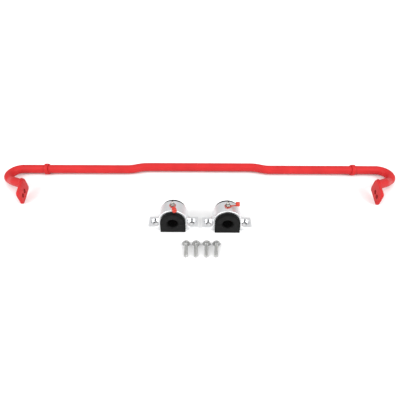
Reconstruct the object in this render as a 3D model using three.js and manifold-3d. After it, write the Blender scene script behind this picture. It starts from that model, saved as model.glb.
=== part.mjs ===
// Rear sway bar kit, laid out on a flat surface: a bent steel bar with an end-link plate welded to each
// tip, two bushing brackets standing in front of it, and the four bolts that fasten the brackets.
// Millimetres. +X runs along the bar, +Y away from the bolts, +Z up. The surface is z = 0, and the
// origin is the middle of the whole layout on that surface.
import * as THREE from 'three';
import { mergeVertices } from 'three/addons/utils/BufferGeometryUtils.js';
import Module from 'manifold-3d';

const wasm = await Module();
wasm.setup();

// ---- Driving dimensions -------------------------------------------------------------------------

const gap = 0.3; // kept between neighbouring solids

const bar = {
  radius: 11,
  axisY: 135,
  offset: 10.9, // the middle stretch lies this far behind the rest
  offsetStart: 149.5, // corners of the shallow S-bend
  offsetEnd: 176.5,
  offsetShift: 4, // the whole offset stretch lies this far to the left of the middle
  offsetBend: 70, // bend radii, at the bar's centre line
  hookBend: 26.5,
  bendStep: 11, // degrees of a bend from one station to the next
  overrun: 12, // how far the tube is carried on past the plate before it is trimmed
  sides: 20,
};

const hook = {
  turn: [537.5, 0, 0], // corners of the tip's route: outboard, forward and up from the bar's axis
  rise: [476.5, 51.5, 0],
  level: [452, 76, 14],
  end: [430, 88, 16.5], // centre of the tube where it meets the plate
};

const collar = { x: 404, width: 10, radius: 14.4, edge: 2 };

const plate = {
  length: 57.5,
  height: 37.4,
  thickness: 6,
  corner: 7,
  margin: 12, // from the tube's centre to the rear and top edges
  toeIn: 7.2, // degrees: the front edge is nearer the middle of the car
  droop: 8.4, // degrees: the front edge is lower
  hole: 5,
  holeMid: 6, // middle of the two holes, ahead of the plate's middle
  holeSpacing: 15.2,
  holeDrop: 2.9,
};

const weld = { reach: 3, height: 3.2, holeClearance: 0.8, tubeStations: 4 };

const saddle = {
  depth: 33,
  halfWidth: 54,
  ear: 8.3,
  domeRadius: 30.5,
  arcHeight: 24, // height of the arch's centre and of the bore
  fillet: 8,
  boltOut: 40,
  boltHole: 5.2,
  seatRadius: 9.8,
  seatDepth: 4.5,
};

const bushing = {
  radius: 26.9,
  waist: 25.5,
  bore: 11,
  mouth: 2.2, // how far and how deep the bore flares at each end
  proud: 8.2,
  slit: 1,
  greaseHole: 1.5,
};

const fitting = {
  thread: 3,
  hexFlats: 9,
  hexHeight: 4.8,
  neck: 2.5,
  head: 3.2,
  seatFlat: 0.3, // how far the dome is milled flat under the hexagon
  passage: 1.45,
  inlet: 0.8,
};
const fittingHeights = { bottom: -4.5, neckTop: 7.1, headLow: 7.9, headHigh: 9.7, tip: 11.7 };
const nose = { shoulder: 2.1, shoulderDrop: 0.6, radius: 1.7, seatCone: 0.8 };

const ball = { radius: 1.15, height: 9.55 };

const spring = { coil: 0.85, wire: 0.2, turns: 8, low: -3.4, high: 8.1 };

const cap = {
  ringInner: 5.6,
  ringOuter: 7,
  strapWidth: 3.4,
  strapThickness: 1.2,
  clearance: 0.4, // above the dome
  cupRadius: 4.9,
  cupWall: 1.2,
  cupStart: 16.8,
  cupEnd: 24.8,
};

const bolt = {
  shank: 3.95,
  length: 30,
  chamfer: 1.4,
  tip: 3,
  flange: 8.7,
  flangeEdge: 1.4,
  flangeTop: 2.6,
  hexFlats: 12,
  head: 5.6,
  crown: 1,
};

// Where the loose pieces stand: the bracket's middle and the dust cap's direction, and for each bolt the
// middle of its flange and how far its tip is turned sideways, in degrees.
const bracketPlaces = [
  { name: 'left', x: -59.4, y: -59.6, slitSide: 1, capTurn: -76 },
  { name: 'right', x: 57.6, y: -61.1, slitSide: -1, capTurn: 3 },
];
const boltRowY = -126.7;
const boltPlaces = [
  { x: -29.6, yaw: 0 },
  { x: -9.1, yaw: -1.7 },
  { x: 12.3, yaw: -1.7 },
  { x: 32.7, yaw: -4 },
];

// ---- Materials ----------------------------------------------------------------------------------

const redCoat = () => new THREE.MeshStandardMaterial({ color: 0xd92b2d, roughness: 0.35, metalness: 0.1 });
const billet = () => new THREE.MeshStandardMaterial({ color: 0xd8dadc, roughness: 0.3, metalness: 1 });
const urethane = () => new THREE.MeshStandardMaterial({ color: 0x1c1c1e, roughness: 0.6, metalness: 0 });
const zincPlate = () => new THREE.MeshStandardMaterial({ color: 0xb4b4b0, roughness: 0.4, metalness: 1 });
const ballSteel = () => new THREE.MeshStandardMaterial({ color: 0xc8c8cc, roughness: 0.15, metalness: 1 });
const springSteel = () => new THREE.MeshStandardMaterial({ color: 0x9a9a9e, roughness: 0.3, metalness: 1 });
const redPlastic = () => new THREE.MeshStandardMaterial({ color: 0xe0482f, roughness: 0.5, metalness: 0 });

// ---- Helpers ------------------------------------------------------------------------------------

const degrees = THREE.MathUtils.degToRad;

function toSolid(geometry) {
  const bare = geometry.clone();
  bare.deleteAttribute('normal');
  bare.deleteAttribute('uv');
  const merged = mergeVertices(bare, 1e-4);
  const vertProperties = new Float32Array(merged.attributes.position.array);
  const triVerts = new Uint32Array(merged.index.array);
  return new wasm.Manifold(new wasm.Mesh({ numProp: 3, vertProperties, triVerts }));
}

function toGeometry(solid) {
  const mesh = solid.getMesh();
  const geometry = new THREE.BufferGeometry();
  geometry.setAttribute('position', new THREE.BufferAttribute(mesh.vertProperties, 3));
  geometry.setIndex(new THREE.BufferAttribute(mesh.triVerts, 1));
  geometry.computeVertexNormals();
  return geometry;
}

const join = (...parts) => parts.reduce((whole, part) => whole.add(part));
const cut = (whole, ...tools) => tools.reduce((rest, tool) => rest.subtract(tool), whole);

// A cylinder or frustum standing on height low, along Z.
function post(radiusLow, radiusHigh, low, high, sides, turn = 0) {
  const geometry = new THREE.CylinderGeometry(radiusHigh, radiusLow, high - low, sides, 1, false, turn);
  geometry.rotateX(Math.PI / 2);
  geometry.translate(0, 0, (low + high) / 2);
  return geometry;
}

// A ring or spindle turned about Z from a profile of [radius, height] points.
function turned(profile, sides) {
  const geometry = new THREE.LatheGeometry(profile.map(([r, z]) => new THREE.Vector2(r, z)), sides);
  geometry.rotateX(Math.PI / 2);
  return geometry;
}

// A hexagon across flats, standing along Z.
const hexagon = (flats, low, high) => post(flats / Math.sqrt(3), flats / Math.sqrt(3), low, high, 6);

// An outline in the XZ plane, extruded to both sides of y = 0.
function alongY(shape, depth, curveSegments) {
  const geometry = new THREE.ExtrudeGeometry(shape, { depth, bevelEnabled: false, curveSegments });
  geometry.translate(0, 0, -depth / 2);
  geometry.rotateX(Math.PI / 2);
  return geometry;
}

// The same shape on the other side of x = 0.
function mirrored(geometry) {
  const flipped = geometry.clone();
  flipped.scale(-1, 1, 1);
  const index = flipped.index.array;
  for (let i = 0; i < index.length; i += 3) {
    [index[i], index[i + 1]] = [index[i + 1], index[i]];
  }
  flipped.computeVertexNormals();
  return flipped;
}

// A route given by its stations: an extrusion along it takes one step from each station to the next.
class StationRoute extends THREE.Curve {
  constructor(stations) {
    super();
    this.stations = stations;
  }

  getPoint(t, target = new THREE.Vector3()) {
    const place = t * (this.stations.length - 1);
    const before = Math.min(Math.floor(place), this.stations.length - 2);
    return target.lerpVectors(this.stations[before], this.stations[before + 1], place - before);
  }

  getPointAt(u, target) {
    return this.getPoint(u, target);
  }

  getTangentAt(u, target) {
    return this.getTangent(u, target);
  }
}

// Stations of a route through corners, each corner rounded to its bend radius.
function bentStations(corners, radii, stepDegrees) {
  const stations = [corners[0]];
  for (let i = 1; i < corners.length - 1; i += 1) {
    const incoming = corners[i].clone().sub(corners[i - 1]).normalize();
    const outgoing = corners[i + 1].clone().sub(corners[i]).normalize();
    const bend = incoming.angleTo(outgoing);
    const start = corners[i].clone().addScaledVector(incoming, -radii[i - 1] * Math.tan(bend / 2));
    const axis = incoming.clone().cross(outgoing).normalize();
    const inward = axis.clone().cross(incoming).normalize();
    const centre = start.clone().addScaledVector(inward, radii[i - 1]);
    const steps = Math.ceil(THREE.MathUtils.radToDeg(bend) / stepDegrees);
    for (let k = 0; k <= steps; k += 1) {
      const arm = start.clone().sub(centre).applyAxisAngle(axis, (bend * k) / steps);
      stations.push(arm.add(centre));
    }
  }
  stations.push(corners[corners.length - 1]);
  return stations;
}

// A round rod along stations.
function rod(stations, radius, sides) {
  const section = new THREE.Shape(
    Array.from({ length: sides }, (_, i) => {
      const turn = (2 * Math.PI * i) / sides;
      return new THREE.Vector2(radius * Math.cos(turn), radius * Math.sin(turn));
    }),
  );
  return new THREE.ExtrudeGeometry(section, {
    steps: stations.length - 1,
    extrudePath: new StationRoute(stations),
    bevelEnabled: false,
  });
}

// ---- The bar ------------------------------------------------------------------------------------

// A corner of the bar's route, from its place outboard, forward of and above the bar's axis. The bar lies
// on its collars, so its axis is a collar's radius above the surface.
const onBar = ([out, forward, up]) => new THREE.Vector3(out, bar.axisY - forward, collar.radius + up);

const hookEnd = onBar(hook.end);

// The plate's own directions: forward along its length, up along its height, and outboard.
const plateAxes = (() => {
  const outboard = new THREE.Vector3(Math.cos(degrees(plate.toeIn)), -Math.sin(degrees(plate.toeIn)), 0);
  const level = new THREE.Vector3(0, 0, 1).cross(outboard).negate();
  const forward = level.clone().multiplyScalar(Math.cos(degrees(plate.droop)));
  forward.z -= Math.sin(degrees(plate.droop));
  const up = outboard.clone().cross(forward).negate();
  return { forward, up, outboard };
})();

// Puts a shape drawn with x forward, y up and z inboard, centred on the tube's end, in its place.
function onPlate(geometry, outboardShift) {
  const inboard = plateAxes.outboard.clone().negate();
  const frame = new THREE.Matrix4().makeBasis(plateAxes.forward, plateAxes.up, inboard);
  frame.setPosition(hookEnd.clone().addScaledVector(plateAxes.outboard, outboardShift));
  return geometry.applyMatrix4(frame);
}

// The right half's route, carried on past the plate's face so that it can be trimmed to it. The S-bend's
// corners lie outboard of their usual place by shift.
function rightRoute(shift) {
  const past = hookEnd.clone().sub(onBar(hook.level)).setLength(bar.overrun).add(hookEnd);
  const corners = [
    onBar([gap / 2, -bar.offset, 0]),
    onBar([bar.offsetStart + shift, -bar.offset, 0]),
    onBar([bar.offsetEnd + shift, 0, 0]),
    onBar(hook.turn),
    onBar(hook.rise),
    onBar(hook.level),
    past,
  ];
  const radii = [bar.offsetBend, bar.offsetBend, bar.hookBend, bar.hookBend, bar.hookBend];
  return bentStations(corners, radii, bar.bendStep);
}

// The space on one side of a plane that lies clear of the plate's outer face: side 1 is the plate's side.
function spaceBeside(clearance, side) {
  const reach = 100;
  const block = new THREE.BoxGeometry(reach, reach, reach);
  block.translate(0, 0, (side * reach) / 2);
  return toSolid(onPlate(block, clearance));
}

function barHalf(shift) {
  const whole = toSolid(rod(rightRoute(shift), bar.radius, bar.sides));
  return toGeometry(cut(whole, spaceBeside(gap, 1)));
}

// The middles of the plate's two holes, forward of and above the tube's centre.
const plateHoles = [-1, 1].map((side) => [
  plate.length / 2 - plate.margin + plate.holeMid + (side * plate.holeSpacing) / 2,
  plate.margin - plate.height / 2 - plate.holeDrop,
]);

function linkPlate() {
  const { length, height, corner, margin } = plate;
  const left = -margin;
  const right = length - margin;
  const top = margin;
  const bottom = margin - height;
  const outline = new THREE.Shape();
  outline.absarc(right - corner, bottom + corner, corner, -Math.PI / 2, 0);
  outline.absarc(right - corner, top - corner, corner, 0, Math.PI / 2);
  outline.absarc(left + margin, top - margin, margin, Math.PI / 2, Math.PI);
  outline.absarc(left + corner, bottom + corner, corner, Math.PI, 1.5 * Math.PI);
  outline.closePath();
  for (const [x, y] of plateHoles) {
    const opening = new THREE.Path();
    opening.absarc(x, y, plate.hole, 0, 2 * Math.PI, true);
    outline.holes.push(opening);
  }
  const geometry = new THREE.ExtrudeGeometry(outline, {
    depth: plate.thickness,
    bevelEnabled: false,
    curveSegments: 10,
  });
  return toGeometry(toSolid(onPlate(geometry, 0)));
}

// A bead round the tube where it meets the plate, ground back where a bolt passes through the plate.
function weldBead() {
  const stations = rightRoute(0).slice(-weld.tubeStations);
  const outer = toSolid(rod(stations, bar.radius + weld.height, bar.sides));
  const tube = toSolid(rod(stations, bar.radius + gap, bar.sides));
  const boltWays = plateHoles.map(([x, y]) => {
    const radius = plate.hole + weld.holeClearance;
    const way = post(radius, radius, -3 * plate.thickness, plate.thickness, 24);
    way.translate(x, y, 0);
    return toSolid(onPlate(way, 0));
  });
  const bead = cut(outer, tube, spaceBeside(gap, 1), spaceBeside(gap + weld.reach, -1));
  return toGeometry(cut(bead, ...boltWays));
}

function locatingCollar() {
  const { width, radius, edge } = collar;
  const inner = bar.radius + gap;
  const profile = [
    [inner, -width / 2],
    [radius - edge, -width / 2],
    [radius, -width / 2 + edge],
    [radius, width / 2 - edge],
    [radius - edge, width / 2],
    [inner, width / 2],
    [inner, -width / 2],
  ];
  const ring = turned(profile, 24);
  ring.rotateY(Math.PI / 2);
  ring.translate(collar.x, bar.axisY, collar.radius);
  return toGeometry(toSolid(ring));
}

// ---- Bushing and bracket ------------------------------------------------------------------------

// A D standing on its flat: straight sides below the arch.
function archShape(radius) {
  const outline = new THREE.Shape();
  outline.moveTo(-radius, 0);
  outline.lineTo(radius, 0);
  outline.absarc(0, saddle.arcHeight, radius, 0, Math.PI);
  outline.closePath();
  return outline;
}

function splitBushing(slitSide) {
  const total = saddle.depth + 2 * bushing.proud;
  const lip = bushing.proud - gap;
  const body = toSolid(alongY(archShape(bushing.waist), total, 14));
  const lips = [-1, 1].map((side) => {
    const ring = alongY(archShape(bushing.radius), lip, 14);
    ring.translate(0, (side * (total - lip)) / 2, 0);
    return toSolid(ring);
  });
  const flare = bushing.mouth + 1;
  const boreProfile = [
    [0, -total / 2 - 1],
    [bushing.bore + flare, -total / 2 - 1],
    [bushing.bore, bushing.mouth - total / 2],
    [bushing.bore, total / 2 - bushing.mouth],
    [bushing.bore + flare, total / 2 + 1],
    [0, total / 2 + 1],
  ];
  const bore = turned(boreProfile, 28);
  bore.rotateX(Math.PI / 2);
  bore.translate(0, 0, saddle.arcHeight);
  const slit = new THREE.BoxGeometry(2 * bushing.radius, 2 * total, bushing.slit);
  slit.translate(slitSide * bushing.radius, 0, saddle.arcHeight);
  const { greaseHole } = bushing;
  const passage = post(greaseHole, greaseHole, saddle.arcHeight, 2 * saddle.arcHeight + bushing.radius, 12);
  return toGeometry(cut(join(body, ...lips), toSolid(bore), toSolid(slit), toSolid(passage)));
}

function saddleShape() {
  const { halfWidth, ear, domeRadius, arcHeight, fillet } = saddle;
  const inner = bushing.waist + gap;
  const outline = new THREE.Shape();
  outline.moveTo(inner, 0);
  outline.lineTo(halfWidth, 0);
  outline.lineTo(halfWidth, ear);
  outline.absarc(domeRadius + fillet, ear + fillet, fillet, -Math.PI / 2, -Math.PI, true);
  outline.absarc(0, arcHeight, domeRadius, 0, Math.PI);
  outline.absarc(-domeRadius - fillet, ear + fillet, fillet, 0, -Math.PI / 2, true);
  outline.lineTo(-halfWidth, ear);
  outline.lineTo(-halfWidth, 0);
  outline.lineTo(-inner, 0);
  outline.absarc(0, arcHeight, inner, Math.PI, 0, true);
  outline.closePath();
  return outline;
}

const domeTop = saddle.arcHeight + saddle.domeRadius;

function bracketHousing() {
  const body = toSolid(alongY(saddleShape(), saddle.depth, 12));
  const cuts = [];
  for (const side of [-1, 1]) {
    const hole = post(saddle.boltHole, saddle.boltHole, -1, saddle.ear + 1, 20);
    const seat = post(saddle.seatRadius, saddle.seatRadius, saddle.ear - saddle.seatDepth, domeTop, 24);
    for (const tool of [hole, seat]) {
      tool.translate(side * saddle.boltOut, 0, 0);
      cuts.push(toSolid(tool));
    }
  }
  const tapped = fitting.thread + gap;
  cuts.push(toSolid(post(tapped, tapped, saddle.arcHeight, domeTop + 1, 16)));
  const flat = fitting.hexFlats / Math.sqrt(3) + gap;
  cuts.push(toSolid(post(flat, flat, domeTop - fitting.seatFlat, domeTop + 1, 20)));
  return toGeometry(cut(body, ...cuts));
}

// ---- Grease fitting, heights above the top of the dome ------------------------------------------

function greaseFitting() {
  const { thread, hexFlats, hexHeight, neck, head, seatFlat, passage, inlet } = fitting;
  const { bottom, neckTop, headLow, headHigh, tip } = fittingHeights;
  const hexLow = gap - seatFlat;
  const spindle = [
    [0, bottom],
    [thread, bottom],
    [thread, hexLow + 1],
    [neck, hexLow + 1],
    [neck, neckTop],
    [head, headLow],
    [head, headHigh],
    [nose.shoulder, tip - nose.shoulderDrop],
    [nose.radius, tip],
    [0, tip],
  ];
  const bore = [
    [0, bottom - 1],
    [passage - 0.5, bottom - 1],
    [passage - 0.5, bottom + 0.8],
    [passage, bottom + 0.8],
    [passage, tip - 2 * nose.seatCone],
    [inlet, tip - nose.seatCone],
    [inlet, tip + 1],
    [0, tip + 1],
  ];
  const outside = join(toSolid(turned(spindle, 16)), toSolid(hexagon(hexFlats, hexLow, hexHeight)));
  return toGeometry(cut(outside, toSolid(turned(bore, 12))));
}

function springStations() {
  const perTurn = 10;
  const count = spring.turns * perTurn;
  return Array.from({ length: count + 1 }, (_, i) => {
    const turn = (2 * Math.PI * i) / perTurn;
    const rise = THREE.MathUtils.lerp(spring.low + spring.wire, spring.high - spring.wire, i / count);
    return new THREE.Vector3(spring.coil * Math.cos(turn), spring.coil * Math.sin(turn), rise);
  });
}

// Ring, strap and cup of the dust cap, one moulding. The strap leaves along +X.
function dustCap() {
  const low = cap.clearance;
  const high = low + cap.strapThickness;
  const ringProfile = [
    [cap.ringInner, low],
    [cap.ringOuter, low],
    [cap.ringOuter, high],
    [cap.ringInner, high],
    [cap.ringInner, low],
  ];
  const ringMiddle = (cap.ringInner + cap.ringOuter) / 2;
  const strapEnd = cap.cupStart + cap.cupWall;
  const strap = new THREE.BoxGeometry(strapEnd - ringMiddle, cap.strapWidth, cap.strapThickness);
  strap.translate((strapEnd + ringMiddle) / 2, 0, (low + high) / 2);
  const cupAxis = low + cap.cupRadius;
  const outside = post(cap.cupRadius, cap.cupRadius, cap.cupStart, cap.cupEnd, 20);
  const hollowRadius = cap.cupRadius - cap.cupWall;
  const hollow = post(hollowRadius, hollowRadius, cap.cupStart - 1, cap.cupEnd - cap.cupWall, 16);
  for (const piece of [outside, hollow]) {
    piece.rotateY(Math.PI / 2);
    piece.translate(0, 0, cupAxis);
  }
  const moulding = join(toSolid(turned(ringProfile, 24)), toSolid(strap), toSolid(outside));
  return toGeometry(cut(moulding, toSolid(hollow)));
}

// ---- Bolts --------------------------------------------------------------------------------------

// A flange bolt along Z: the flange bears at z = 0 and the tip points down.
function flangeBolt() {
  const spindle = [
    [0, -bolt.length],
    [bolt.tip, -bolt.length],
    [bolt.shank, bolt.chamfer - bolt.length],
    [bolt.shank, 0],
    [bolt.flange, 0],
    [bolt.flange, bolt.flangeEdge],
    [bolt.hexFlats / 2, bolt.flangeTop],
    [0, bolt.flangeTop],
  ];
  const corner = bolt.hexFlats / Math.sqrt(3);
  const hexLow = bolt.flangeEdge;
  const flatUp = Math.PI / 6;
  const body = toSolid(post(corner, corner, hexLow, bolt.head - bolt.crown, 6, flatUp));
  const crown = toSolid(post(corner, corner - bolt.crown, bolt.head - bolt.crown, bolt.head, 6, flatUp));
  return toGeometry(join(toSolid(turned(spindle, 24)), body, crown));
}

// The angle at which a bolt lies, resting on its flange's edge and on its tip.
const boltLie = Math.atan((bolt.flange - bolt.shank) / (bolt.length - bolt.chamfer));

// ---- Assembly -----------------------------------------------------------------------------------

function named(name, geometry, material) {
  const mesh = new THREE.Mesh(geometry, material);
  mesh.name = name;
  return mesh;
}

const kit = new THREE.Group();

kit.add(named('right_bar_half', barHalf(-bar.offsetShift), redCoat()));
kit.add(named('left_bar_half', mirrored(barHalf(bar.offsetShift)), redCoat()));
const tipPieces = [
  ['locating_collar', locatingCollar()],
  ['link_plate', linkPlate()],
  ['plate_weld', weldBead()],
];
for (const [name, geometry] of tipPieces) {
  kit.add(named(`right_${name}`, geometry, redCoat()));
  kit.add(named(`left_${name}`, mirrored(geometry), redCoat()));
}

for (const place of bracketPlaces) {
  const bracket = new THREE.Group();
  bracket.position.set(place.x, place.y, 0);
  bracket.add(named(`${place.name}_bushing`, splitBushing(place.slitSide), urethane()));
  bracket.add(named(`${place.name}_bracket_housing`, bracketHousing(), billet()));
  const grease = new THREE.Group();
  grease.position.z = domeTop;
  const sphere = new THREE.SphereGeometry(ball.radius, 12, 8);
  const checkBall = named(`${place.name}_check_ball`, sphere, ballSteel());
  checkBall.position.z = ball.height;
  const coil = toGeometry(toSolid(rod(springStations(), spring.wire, 6)));
  const dust = named(`${place.name}_dust_cap`, dustCap(), redPlastic());
  dust.rotation.z = degrees(place.capTurn);
  grease.add(named(`${place.name}_grease_fitting`, greaseFitting(), zincPlate()));
  grease.add(checkBall, named(`${place.name}_check_spring`, coil, springSteel()), dust);
  bracket.add(grease);
  kit.add(bracket);
}

boltPlaces.forEach((place, i) => {
  const loose = named(`flange_bolt_${i + 1}`, flangeBolt(), zincPlate());
  loose.position.set(place.x, boltRowY, bolt.flange * Math.cos(boltLie));
  loose.rotation.set(boltLie - Math.PI / 2, 0, degrees(place.yaw), 'ZYX');
  kit.add(loose);
});

export default kit;
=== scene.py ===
"""Studio scene of a rear sway bar kit: the bent bar at the back, its two greasable bushing brackets and
their four bolts in front of it.

Every piece is modelled here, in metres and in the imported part's own frame, and rides on one of that
part's bodies.
"""

import math

import bmesh
import bpy
import numpy as np
from mathutils import Matrix, Vector


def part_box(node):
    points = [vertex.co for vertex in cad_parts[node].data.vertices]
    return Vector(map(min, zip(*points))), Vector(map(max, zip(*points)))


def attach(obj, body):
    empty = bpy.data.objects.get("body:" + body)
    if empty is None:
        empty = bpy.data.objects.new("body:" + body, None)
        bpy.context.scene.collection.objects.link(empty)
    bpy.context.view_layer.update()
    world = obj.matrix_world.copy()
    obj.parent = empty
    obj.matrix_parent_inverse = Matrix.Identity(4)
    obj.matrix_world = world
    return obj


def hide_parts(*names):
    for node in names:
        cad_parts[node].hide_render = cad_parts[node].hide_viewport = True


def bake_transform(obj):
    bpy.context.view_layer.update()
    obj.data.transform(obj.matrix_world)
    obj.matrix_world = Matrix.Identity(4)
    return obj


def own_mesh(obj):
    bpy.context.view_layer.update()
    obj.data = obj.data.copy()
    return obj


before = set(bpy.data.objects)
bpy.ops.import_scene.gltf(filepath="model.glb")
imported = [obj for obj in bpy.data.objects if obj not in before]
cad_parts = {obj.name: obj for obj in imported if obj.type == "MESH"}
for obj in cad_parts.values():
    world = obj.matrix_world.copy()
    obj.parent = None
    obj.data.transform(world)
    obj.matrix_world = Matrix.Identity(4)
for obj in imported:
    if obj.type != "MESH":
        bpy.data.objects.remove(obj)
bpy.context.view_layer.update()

MM = 0.001
SIDES = {"left": -1, "right": 1}
SPARE = 2 * MM  # how far a cutter reaches past what it cuts

# ---- Driving dimensions ---------------------------------------------------------------------------
# Lengths are in metres and angles in radians. The size of a round feature is its radius.

BAR_RADIUS = 11 * MM
BAR_OFFSET = 10.9 * MM  # the middle stretch lies this far behind the rest
BAR_OFFSET_START = 149.5 * MM  # corners of the shallow S-bend
BAR_OFFSET_END = 176.5 * MM
BAR_OFFSET_SHIFT = 4 * MM  # the whole offset stretch lies this far to the left
BAR_OFFSET_BEND = 70 * MM  # bend radii, at the bar's centre line
BAR_HOOK_BEND = 26.5 * MM

# Corners of the bar's tip: outboard, forward and up from the bar's axis.
HOOK_TURN = (537.5 * MM, 0, 0)
HOOK_RISE = (476.5 * MM, 51.5 * MM, 0)
HOOK_LEVEL = (452 * MM, 76 * MM, 14 * MM)
HOOK_END = (430 * MM, 88 * MM, 16.5 * MM)

COLLAR_RADIUS = 14.3 * MM
COLLAR_WIDTH = 9.6 * MM
COLLAR_ROUNDING = 1.5 * MM
COLLAR_BORE = BAR_RADIUS - 0.3 * MM  # the ring sinks into the bar
COLLAR_MOUTH = BAR_RADIUS + 0.5 * MM  # the flat end faces' inner edge shows as far as here

PLATE_LENGTH = 57.5 * MM
PLATE_HEIGHT = 37.4 * MM
PLATE_THICKNESS = 6 * MM
PLATE_CORNER = 7 * MM
PLATE_MARGIN = 12 * MM  # from the tube's centre to the rear and top edges
PLATE_TOE_IN = math.radians(7.2)  # the front edge is nearer the middle of the car
PLATE_DROOP = math.radians(8.4)  # the front edge is lower
PLATE_HOLE = 5 * MM
PLATE_HOLE_MID = 6 * MM  # middle of the two holes, ahead of the plate's middle
PLATE_HOLE_SPACING = 15.2 * MM
PLATE_HOLE_DROP = 2.9 * MM
PLATE_HOLE_FLARE = 0.5 * MM
PLATE_BEVEL = 0.9 * MM

WELD_THROAT = 2.7 * MM
WELD_LEAST = 0.4 * MM  # the bead thins down to this where a hole is near
WELD_HOLE_CLEARANCE = 0.8 * MM
WELD_RIPPLE = 2.3 * MM  # length of one ripple
WELD_SWELL = 0.1  # share of the throat that a ripple adds or takes away
WELD_LEAN = 0.18 * WELD_RIPPLE  # how far the bead's outer side trails its inner side

SADDLE_DEPTH = 33 * MM
SADDLE_HALF_WIDTH = 54 * MM
SADDLE_EAR = 8.3 * MM  # thickness of the two ears
SADDLE_DOME = 30.5 * MM
SADDLE_ARC_HEIGHT = 24 * MM  # height of the arch's centre and of the bore
SADDLE_FILLET = 8 * MM
SADDLE_INNER = 25.8 * MM  # radius of the arch that holds the bushing
SADDLE_CHAMFER = 0.7 * MM
SEAT_OUT = 40 * MM  # from the middle of the bracket to a bolt hole
SEAT_RADIUS = 9.8 * MM
SEAT_DEPTH = 4.5 * MM
SEAT_HOLE = 5.2 * MM
SEAT_CORNER = 0.3 * MM
RIM_CHAMFER = 0.4 * MM
DOME_TOP = SADDLE_ARC_HEIGHT + SADDLE_DOME

BUSHING_RADIUS = 26.9 * MM  # of the lips, outside the housing
BUSHING_WAIST = 25.5 * MM  # inside the housing
BUSHING_PROUD = 8.2 * MM  # how far it stands out of the housing at each end
BUSHING_LIP = 7.9 * MM  # length of each lip
BUSHING_EDGE = 0.6 * MM
BUSHING_RIM = 2.8 * MM  # width of the rim round each end face, which keeps the darker urethane
BUSHING_BORE = 11 * MM
BUSHING_MOUTH = 2.2 * MM  # how far and how deep the bore flares at each end
BUSHING_SLIT = 0.7 * MM
BUSHING_PASSAGE = 1.5 * MM  # radius of the grease hole under the fitting
BUSHING_SLIT_SIDE = {"left": 1, "right": -1}
GROOVE_PLACES = (-12 * MM, 0, 12 * MM)  # grease grooves along the bore
GROOVE_DEPTH = 0.6 * MM

# Heights of the fitting, ball and spring are from the top of the dome.
FITTING_THREAD = 3 * MM
FITTING_BOTTOM = -4.5 * MM
FITTING_FLATS = 9 * MM
FITTING_HEX_TOP = 4.8 * MM
FITTING_NECK = 2.5 * MM
FITTING_NECK_TOP = 7.1 * MM
FITTING_HEAD = 3.2 * MM
FITTING_HEAD_LOW = 7.9 * MM
FITTING_HEAD_HIGH = 9.7 * MM
FITTING_TIP = 11.7 * MM
FITTING_PASSAGE = 1.45 * MM
FITTING_INLET = 0.8 * MM
FITTING_SEAT = 0.3 * MM  # how deep the dome is spot-faced under the hexagon
FITTING_SEAT_ROOM = 0.8 * MM  # round the hexagon
FITTING_THREAD_ROOM = 0.1 * MM
FITTING_CHAMFER = 0.4 * MM
FITTING_CORNER_CUT = 0.7 * MM  # taken off the hexagon's corners at its lower face

BALL_RADIUS = 1.15 * MM
BALL_HEIGHT = 9.55 * MM
SPRING_COIL = 0.85 * MM
SPRING_WIRE = 0.2 * MM
SPRING_TURNS = 8
SPRING_LOW = -3.4 * MM
SPRING_HIGH = 8.1 * MM

CAP_CLEARANCE = 0.4 * MM  # above the dome
CAP_TURN = {"left": math.radians(-76), "right": math.radians(3)}  # where the strap points
CAP_EDGE = 0.35 * MM  # rounding of every edge but the cup's crown
CAP_RING_INNER = 5.6 * MM
CAP_RING_OUTER = 7 * MM
CAP_STRAP_WIDTH = 3.4 * MM
CAP_STRAP_THICKNESS = 1.2 * MM
CAP_STRAP_WAIST = 0.22  # share of its width that the strap loses halfway along
CAP_CUP_RADIUS = 4.9 * MM
CAP_CUP_WALL = 1.2 * MM
CAP_CUP_START = 16.8 * MM  # from the fitting's axis
CAP_CUP_END = 24.8 * MM
CAP_CUP_ROUNDING = 1.3 * MM
CAP_CUP_CORNER = 0.8 * MM  # chamfer inside, round the floor
CAP_CUP_POLE = 0.2 * MM
CAP_GRIP_START = 1.5 * MM  # the shallow groove round the cup, from its mouth
CAP_GRIP_END = 2.2 * MM
CAP_GRIP_DEPTH = 0.25 * MM
CAP_GRIP_SLOPE = 0.2 * MM

# Heights of the bolt are from the underside of its flange.
BOLT_SHANK = 3.95 * MM
BOLT_LENGTH = 30 * MM
BOLT_PITCH = 1.25 * MM
BOLT_THREAD_DEPTH = 0.68 * MM
BOLT_THREAD_FLANK = 2.6  # how steeply the ridge rises, over half a pitch
BOLT_THREAD_ROOT = 0.1  # how wide the flat between two ridges is
BOLT_THREAD_ROWS = 10  # to one turn
BOLT_CHAMFER = 1.4 * MM
BOLT_TIP = 3 * MM
BOLT_TIP_RIM = 0.4 * MM
BOLT_RECESS = 0.3 * MM  # depth of the hollow in the tip
BOLT_RECESS_RIM = 0.9 * MM
BOLT_POLE = 0.3 * MM
BOLT_PLAIN = 2.6 * MM  # length without a thread under the flange
BOLT_NECK = 1 * MM
BOLT_NECK_FILLET = 0.8 * MM
BOLT_FLANGE = 8.7 * MM
BOLT_FLANGE_EDGE = 1.4 * MM
BOLT_FLANGE_ROUNDING = 0.5 * MM
BOLT_FLANGE_STEP = 0.3 * MM  # from the flange's side in to its cone
BOLT_FLANGE_TOP = 2.6 * MM
BOLT_FLATS = 12 * MM
BOLT_HEAD = 5.6 * MM
# How far below the head's top, and how much is taken off its corners there.
BOLT_CROWN = [
    (1.3 * MM, 0.0),
    (0.9 * MM, 0.35 * MM),
    (0.5 * MM, 0.8 * MM),
    (0.2 * MM, 1.25 * MM),
    (0.0, 1.75 * MM),
]
# The head's dished top: how far below the rim, and the radius there.
BOLT_DISH = [(0.0, 3.9 * MM), (0.5 * MM, 3.3 * MM), (0.6 * MM, BOLT_POLE)]
BOLT_ROW_Y = -126.7 * MM
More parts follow.
